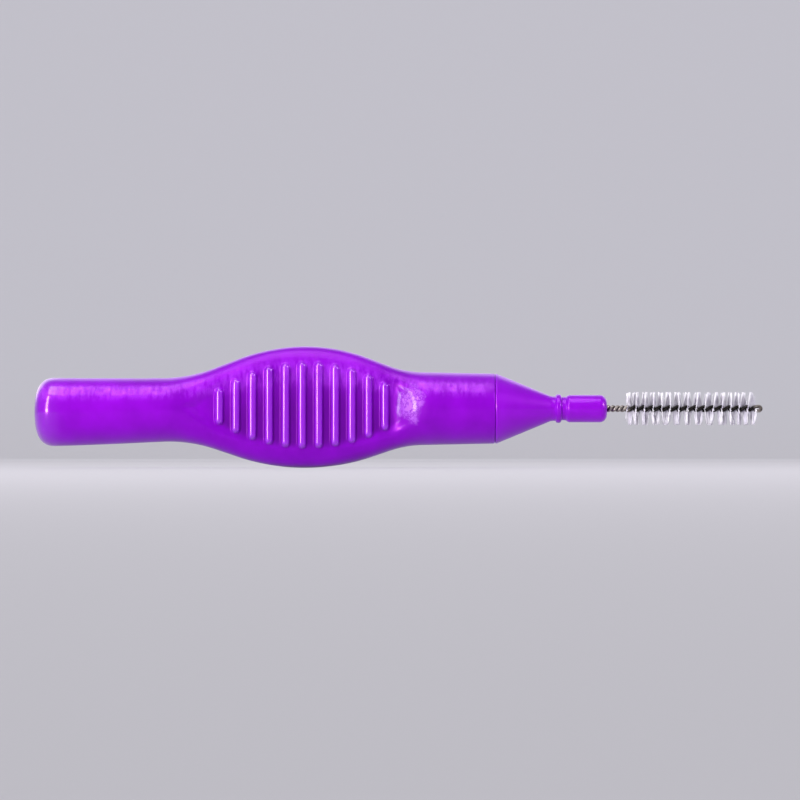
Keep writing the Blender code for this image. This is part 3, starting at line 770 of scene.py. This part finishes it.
def holder_corners():
    """Corners of the holder's half outline, each with its station, radius and rounding."""
    spigot_start = HANDLE_LENGTH - SPIGOT_LENGTH
    channel = BARE_LEG_OFFSET + WIRE_RADIUS + WIRE_CHANNEL_CLEARANCE
    channel_end = NOSE_END_STATION - WIRE_ROOT_LENGTH - WIRE_CHANNEL_CLEARANCE
    slope = GROOVE_WIDTH * GROOVE_SLOPE_SHARE
    seam_face_radius = COLLAR_RADIUS - SEAM_CHAMFER_DROP
    ring_side = RING_WIDTH * RING_SIDE_SHARE
    ring_round = RING_WIDTH * RING_ROUND_SHARE
    foot_round = HOLDER_ROUND * RING_FOOT_ROUND_SHARE
    return [
        (spigot_start, 0.0, 0.0),
        (spigot_start, SPIGOT_RADIUS - SPIGOT_CHAMFER, HOLDER_ROUND),
        (spigot_start + SPIGOT_CHAMFER, SPIGOT_RADIUS, HOLDER_ROUND),
        (SHOULDER_STATION, SPIGOT_RADIUS, 0.0),
        (SHOULDER_STATION, seam_face_radius, SEAM_CHAMFER_DROP * SEAM_FACE_ROUND_SHARE),
        (SHOULDER_STATION + SEAM_CHAMFER, COLLAR_RADIUS, SEAM_CHAMFER * SEAM_EDGE_ROUND_SHARE),
        (CONE_END_STATION, CONE_END_RADIUS, HOLDER_ROUND),
        (CONE_END_STATION + NECK_LENGTH / 2, NECK_RADIUS, HOLDER_ROUND),
        (RING_START_STATION, NECK_RADIUS, foot_round),
        (RING_START_STATION + ring_side, RING_RADIUS, ring_round),
        (GROOVE_START_STATION - ring_side, RING_RADIUS, ring_round),
        (GROOVE_START_STATION, GROOVE_RADIUS, foot_round),
        (NOSE_START_STATION - slope, GROOVE_RADIUS, HOLDER_ROUND * GROOVE_ROUND_SHARE),
        (NOSE_START_STATION, NOSE_RADIUS, NOSE_START_ROUND),
        (NOSE_END_STATION, NOSE_RADIUS, NOSE_END_ROUND),
        (NOSE_END_STATION, channel, WIRE_CHANNEL_CLEARANCE),
        (channel_end, channel, 0.0),
        (channel_end, 0.0, 0.0),
    ]


def make_holder(finish):
    """The cone holder: its corners are rounded, then the outline is turned about the axis."""
    bm = bmesh.new()
    corners = holder_corners()
    verts = [bm.verts.new(place(station, 0.0, radius)) for station, radius, _ in corners]
    for pair in zip(verts, verts[1:]):
        bm.edges.new(pair)
    for vert, (_, _, rounding) in zip(verts, corners):
        if rounding:
            bmesh.ops.bevel(bm, geom=[vert], offset=rounding, offset_type="OFFSET",
                            segments=CORNER_SEGMENTS, profile=0.5, affect="VERTICES", material=-1)
    bmesh.ops.spin(bm, geom=bm.verts[:] + bm.edges[:], cent=place(0.0), axis=(1, 0, 0),
                   dvec=(0, 0, 0), angle=2 * math.pi, steps=TURNED_SEGMENTS, use_merge=True,
                   use_duplicate=False)
    bmesh.ops.remove_doubles(bm, verts=bm.verts, dist=MERGE_DISTANCE)
    bmesh.ops.recalc_face_normals(bm, faces=bm.faces)
    return finish_piece("cone_holder", bm, finish)


# Twisted wire


def ribbon_angle(station):
    """Direction of the filaments about the axis: left-handed, and twisted more where bare."""
    beyond = math.hypot(station - BRISTLE_START_STATION, WIRE_TWIST_EASE)
    before = math.hypot(station - NOSE_END_STATION, WIRE_TWIST_EASE)
    extra_share = (before - beyond) / (2 * WIRE_BARE_LENGTH) - 0.5
    turned = (station - BRISTLE_START_STATION) / HALF_TURN
    return -math.pi * turned - WIRE_BARE_TWIST * extra_share


def leg_point(station, offset, angle):
    """A point on a leg, which lies a quarter turn round from the filaments."""
    turn = angle + math.pi / 2
    return place(station, offset * math.cos(turn), offset * math.sin(turn))


def leg_offset(station):
    """Distance of a leg from the axis: the legs part where filaments lie between them."""
    start = BRISTLE_START_STATION - WIRE_SPREAD_LENGTH
    parted = smooth_share(station, start, WIRE_SPREAD_LENGTH)
    return BARE_LEG_OFFSET + (LEG_OFFSET - BARE_LEG_OFFSET) * parted


def spread_angle(share):
    """The twist dies away over the spread before the eye."""
    turned = math.pi * WIRE_SPREAD_LENGTH / HALF_TURN * (share - share * share / 2)
    return ribbon_angle(TWIST_END_STATION) - turned


def leg_stations():
    """Stations along a leg, closer together in its bare part, which is twisted more."""
    stations = [NOSE_END_STATION - WIRE_ROOT_LENGTH]
    for end in (NOSE_END_STATION, BRISTLE_START_STATION, TWIST_END_STATION):
        turns = (ribbon_angle(stations[-1]) - ribbon_angle(end)) / (2 * math.pi)
        steps = math.ceil(turns * WIRE_STEPS_PER_TURN)
        stations += list(np.linspace(stations[-1], end, steps + 1)[1:])
    return stations


def leg_path(side):
    """Middle line of one leg, from its root in the holder to the eye at the tip."""
    path = []
    for station in leg_stations():
        path.append(leg_point(station, side * leg_offset(station), ribbon_angle(station)))
    for share in np.linspace(0.0, 1.0, WIRE_SPREAD_STEPS)[1:]:
        offset = LEG_OFFSET + (WIRE_EYE_RADIUS - LEG_OFFSET) * smooth_share(share, 0.0, 1.0)
        station = TWIST_END_STATION + WIRE_SPREAD_LENGTH * share
        path.append(leg_point(station, side * offset, spread_angle(share)))
    return path


def make_wire(finish):
    """The one folded wire: out along one leg, round the eye and back."""
    eye = []
    for turn in np.linspace(0.0, math.pi, WIRE_EYE_STEPS)[1:-1]:
        station = EYE_STATION + WIRE_EYE_RADIUS * math.sin(turn)
        eye.append(leg_point(station, WIRE_EYE_RADIUS * math.cos(turn), spread_angle(1.0)))
    path = leg_path(1) + eye + list(reversed(leg_path(-1)))
    bm = bmesh.new()
    draw_through(bm, tube_rings(path, WIRE_RADIUS, WIRE_SIDES))
    bmesh.ops.recalc_face_normals(bm, faces=bm.faces)
    return finish_piece("twisted_wire", bm, finish)


# Filaments


def leaning_angle(root_angle):
    """Direction of a filament's tip: most lean straight up or down, and a few stay sideways."""
    upright = math.pi * (math.floor(root_angle / math.pi) + 0.5)
    off_share = (root_angle - upright) / (math.pi / 2)
    kept = smooth_share(abs(off_share), UPRIGHT_LIMIT_SHARE, 1 - UPRIGHT_LIMIT_SHARE)
    kept = UPRIGHT_SPREAD_SHARE + (1 - UPRIGHT_SPREAD_SHARE) * kept
    return upright + math.pi / 2 * off_share * kept


def tuft_station(station, up_share):
    """Where a filament's tip stands: drawn to the middle of the nearest tuft, in small wisps."""
    shares = UPPER_TUFT_SHARES if up_share > 0 else LOWER_TUFT_SHARES
    middles = [BRISTLE_START_STATION + BRISTLE_LENGTH * share for share in shares]
    middle = min(middles, key=lambda other: abs(other - station))
    aside = station - middle
    wisp = WISP_PULL * math.sin(2 * math.pi * aside / WISP_WIDTH)
    return station + (middle + aside * TUFT_WIDTH_SHARE + wisp - station) * up_share * up_share


def gathered_station(station):
    """Where a filament leaves the wire: beside the place where the ribbon stands upright."""
    angle = ribbon_angle(station)
    off_share = angle / (math.pi / 2) - 2 * math.floor(angle / math.pi) - 1
    if abs(off_share) > UPRIGHT_LIMIT_SHARE:
        return station
    return station + off_share * HALF_TURN / 2 * GATHER_SHARE


def strand_path(station, side, tip_station, tip_angle, reach):
    """Middle line of one filament, from between the wire's legs out to its cut tip."""
    root_station = gathered_station(station)
    root_angle = ribbon_angle(root_station)
    path = []
    for share in STRAND_POINT_SHARES:
        turned = smooth_share(share, *STRAND_TURN_SHARES)
        angle = root_angle + (tip_angle - root_angle) * turned
        distance = side * reach * share
        across = distance * math.cos(angle)
        up = distance * math.sin(angle)
        spread = smooth_share(share, 0.0, STRAND_SPREAD_SHARE)
        along = root_station + (station - root_station) * spread
        lean = (tip_station - station) * share ** STRAND_LEAN_POWER
        path.append(place(along + lean, across, up))
    return path


def make_tuft(number, finish, dice):
    """Half a turn of filaments, on both sides of the wire."""
    bm = bmesh.new()
    start = BRISTLE_START_STATION + HALF_TURN * number
    for side in (1, -1):
        for index in range(STRANDS_PER_SIDE):
            steps = index + dice.uniform(*ROOT_PLACE_SHARES)
            station = start + HALF_TURN * steps / STRANDS_PER_SIDE
            sparse = station < SPARSE_END_STATION
            stray = dice.random() < (SPARSE_STRAY_SHARE if sparse else STRAY_SHARE)
            if dice.random() < (SPARSE_SKIP_SHARE if sparse else 0.0):
                continue
            tip_angle = leaning_angle(ribbon_angle(station)) + dice.gauss(0.0, TIP_ANGLE_SPREAD)
            tip_station = tuft_station(station, side * math.sin(tip_angle))
            tip_station += dice.gauss(0.0, STRAY_TIP_SPREAD if stray else TIP_SPREAD)
            trim = dice.gauss(0.0, STRAY_TRIM_SPREAD_SHARE if stray else TRIM_SPREAD_SHARE)
            reach = BRISTLE_RADIUS * (1 - abs(trim))
            path = strand_path(station, side, tip_station, tip_angle, reach)
            draw_through(bm, tube_rings(path, STRAND_RADIUS, STRAND_SIDES), dice.random())
    bmesh.ops.recalc_face_normals(bm, faces=bm.faces)
    return finish_piece(f"filaments_{number + 1:02d}", bm, finish)


def nylon(name):
    """Translucent white nylon: each filament its own tone, with painted lilac shade in the depth
    of the tuft.
    """
    finish = Finish(name)
    tone = finish.attribute("tone")
    distance = finish.length(finish.spot((0.0, 0.0, AXIS_HEIGHT), (0.0, 1.0, 1.0)))
    # Painted shade: filaments are coloured darker and lilac near the wire, deep in the tuft
    depth = (1.0 - (distance - ROOT_SHADE_START) / ROOT_SHADE_LENGTH).held()
    finish.set(
        Base_Color=finish.mix(depth * 0.4, finish.ramp(tone, FILAMENT_STOPS), ROOT_SHADE_COLOUR),
        Roughness=0.3 + tone * 0.2,
        Specular_IOR_Level=0.5,
    )
    return finish


def drawn_steel(name):
    """Drawn stainless wire: bright where bare, with painted shade under the filaments and tarnish
    blotches.
    """
    finish = Finish(name)
    where = finish.spot((0.0, 0.0, AXIS_HEIGHT))
    tarnish = finish.noise(where, TARNISH_BLOTCH, 3.0, 0.6)
    grain = finish.noise(where, DRAWING_GRAIN, 2.0, 0.6)
    parts = finish.node("ShaderNodeSeparateXYZ", None, {"Vector": where})
    along = Signal(finish, parts.socket.node.outputs["X"])
    upward = Signal(finish, parts.socket.node.outputs["Z"])
    sideways = Signal(finish, parts.socket.node.outputs["Y"])
    distance = (upward * upward + sideways * sideways) ** 0.5
    crest_highlight = ((distance - LEG_OFFSET) / WIRE_RADIUS).held()
    brush_start = BRISTLE_START_STATION - TIP_STATION / 2
    brush_end = BRISTLE_END_STATION - TIP_STATION / 2
    # Painted shade: the wire is coloured dark where the filaments stand over it
    filament_shade = ((along - brush_start) / COVER_BLEND_LENGTH).held()
    filament_shade = filament_shade * ((brush_end - along) / COVER_BLEND_LENGTH).held()
    # Painted highlight and shade: each leg is coloured lighter on its outer crest and darker in
    # the grooves, mixed with tarnish blotches
    tone = (crest_highlight * 0.7 + tarnish * 0.6 - 0.2).held()
    bare_colour = finish.fade(tone, BARE_STEEL_TONES)
    shaded_steel_colour = finish.fade(tone, SHADED_STEEL_TONES)
    finish.set(
        Base_Color=finish.mix(filament_shade, bare_colour, shaded_steel_colour),
        Metallic=1.0,
        Roughness=0.2 + tarnish * 0.12 + grain * 0.08,
        Normal=finish.bump(grain, STEEL_BUMP_HEIGHT),
    )
    return finish


# Pieces

handle_finish = violet_plastic("violet_handle", HANDLE_TONES, HANDLE_PATTERN_CENTRE, HANDLE_GLOSS)
holder_finish = violet_plastic("violet_holder", HOLDER_TONES, HOLDER_PATTERN_CENTRE, HOLDER_GLOSS)
wire_finish = drawn_steel("wire_steel_drawn")
nylon_finish = nylon("filament_nylon_white")

handle = make_handle(handle_finish)
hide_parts("handle")
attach(handle, "handle")

holder = make_holder(holder_finish)
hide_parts("brush_holder")
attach(holder, "brush_head")

wire = make_wire(wire_finish)
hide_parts("wire")
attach(wire, "brush_head")

dice = random.Random(11)
for tuft_number in range(TUFT_COUNT):
    tuft = make_tuft(tuft_number, nylon_finish, dice)
    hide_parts(f"tuft_{tuft_number + 1:02d}")
    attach(tuft, "brush_head")

# Floor, backdrop, lights and camera

FLOOR_HALF_WIDTH = 2.5
FLOOR_FRONT = -1.5
SWEEP_START = 1.2
SWEEP_RADIUS = 0.5
SWEEP_STEPS = 16
BACKDROP_TOP = 2.5
FLOOR_COLOUR = (0.6, 0.58, 0.63)
BACKDROP_COLOUR = (0.62, 0.61, 0.68)
BACKDROP_BLEND_RATE = 40
GLOW_COLOUR = (0.63, 0.62, 0.67)
GLOW_SHARE = 0.6

# Lamps: name, place, the point that it faces, width and height, watts and colour. The two keys
# stand upright in front, on the tail's side, and light the edges of the ribs.
LAMPS = (
    ("key_strip", (-0.215, -0.276, 0.21), (0, 0, 0.21), (0.08, 0.42), 1.1, (1.0, 0.97, 1.0)),
    ("low_key", (-0.215, -0.276, 0.028), (0, 0, 0.028), (0.07, 0.056), 0.44, (1.0, 0.97, 1.0)),
    ("side_fill", (0.33, -0.12, 0.17), (0, 0, 0.006), (0.08, 0.12), 0.6, (0.97, 0.97, 1.0)),
    ("overhead", (-0.03, -0.08, 0.31), (0, 0, 0.006), (0.22, 0.2), 0.46, (0.97, 0.96, 1.0)),
    ("rim", (0.0, 0.4, 0.2), (0, 0, 0.006), (0.8, 0.34), 0.9, (0.98, 0.95, 1.0)),
    ("backdrop_wash", (0.0, 0.6, 0.4), (0, 1.7, 0.2), (1.6, 1.0), 7.0, (0.97, 0.96, 1.0)),
)
WORLD_COLOUR = (0.93, 0.93, 1.0)
WORLD_STRENGTH = 0.24

# The lens and its sensor are in millimetres
LENS_LENGTH = 200.0
SENSOR_WIDTH = 36.0
CLIP_START = 0.001
CLIP_END = 20.0
CAMERA_PLACE = (0.000106, -0.4277, 0.0012)
CAMERA_AIM_RISE = 0.00083


def make_floor():
    """A pale floor that sweeps up into a backdrop."""
    bm = bmesh.new()
    profile = [(FLOOR_FRONT, 0.0), (SWEEP_START, 0.0)]
    for index in range(1, SWEEP_STEPS + 1):
        angle = math.pi / 2 * index / SWEEP_STEPS
        rise = SWEEP_RADIUS * (1 - math.cos(angle))
        profile.append((SWEEP_START + SWEEP_RADIUS * math.sin(angle), rise))
    profile.append((SWEEP_START + SWEEP_RADIUS, BACKDROP_TOP))
    verts = [bm.verts.new((-FLOOR_HALF_WIDTH, y, z)) for y, z in profile]
    edges = [bm.edges.new(pair) for pair in zip(verts, verts[1:])]
    drawn = bmesh.ops.extrude_edge_only(bm, edges=edges)["geom"]
    moved = [item for item in drawn if isinstance(item, bmesh.types.BMVert)]
    bmesh.ops.translate(bm, verts=moved, vec=(2 * FLOOR_HALF_WIDTH, 0, 0))
    finish = Finish("pale_floor")
    height = finish.node("ShaderNodeSeparateXYZ", None, {"Vector": finish.spot()}, "Z")
    colour = finish.mix((height * BACKDROP_BLEND_RATE).held(), FLOOR_COLOUR, BACKDROP_COLOUR)
    finish.set(Base_Color=colour, Roughness=0.6, Specular_IOR_Level=0.2)
    finish.glow_when_seen(GLOW_SHARE, GLOW_COLOUR)
    return finish_piece("studio_floor", bm, finish)


def aim(obj, target):
    """Turn an object so that it looks at a point."""
    obj.rotation_euler = (Vector(target) - obj.location).to_track_quat("-Z", "Y").to_euler()


def add_softbox(name, place_at, target, size, watts, colour):
    """An area light that faces a point and stays out of the picture."""
    data = bpy.data.lights.new(name, "AREA")
    data.shape = "RECTANGLE"
    data.size, data.size_y = size
    data.energy = watts
    data.color = colour
    lamp = bpy.data.objects.new(name, data)
    bpy.context.scene.collection.objects.link(lamp)
    lamp.location = place_at
    aim(lamp, target)
    lamp.visible_camera = False


def make_camera():
    """A long lens that looks along +Y, low over the floor."""
    data = bpy.data.cameras.new("camera")
    data.sensor_width = SENSOR_WIDTH
    data.lens = LENS_LENGTH
    data.clip_start = CLIP_START
    data.clip_end = CLIP_END
    camera = bpy.data.objects.new("camera", data)
    bpy.context.scene.collection.objects.link(camera)
    camera.location = CAMERA_PLACE
    aim(camera, (CAMERA_PLACE[0], 0.0, AXIS_HEIGHT + CAMERA_AIM_RISE))
    bpy.context.scene.camera = camera


def make_world():
    """Even, faint light from all around."""
    world = bpy.data.worlds.new("studio")
    world.use_nodes = True
    background = world.node_tree.nodes["Background"]
    background.inputs["Color"].default_value = (*WORLD_COLOUR, 1.0)
    background.inputs["Strength"].default_value = WORLD_STRENGTH
    bpy.context.scene.world = world


make_floor()
for lamp_row in LAMPS:
    add_softbox(*lamp_row)
make_camera()
make_world()
bpy.context.scene.view_settings.view_transform = "Standard"
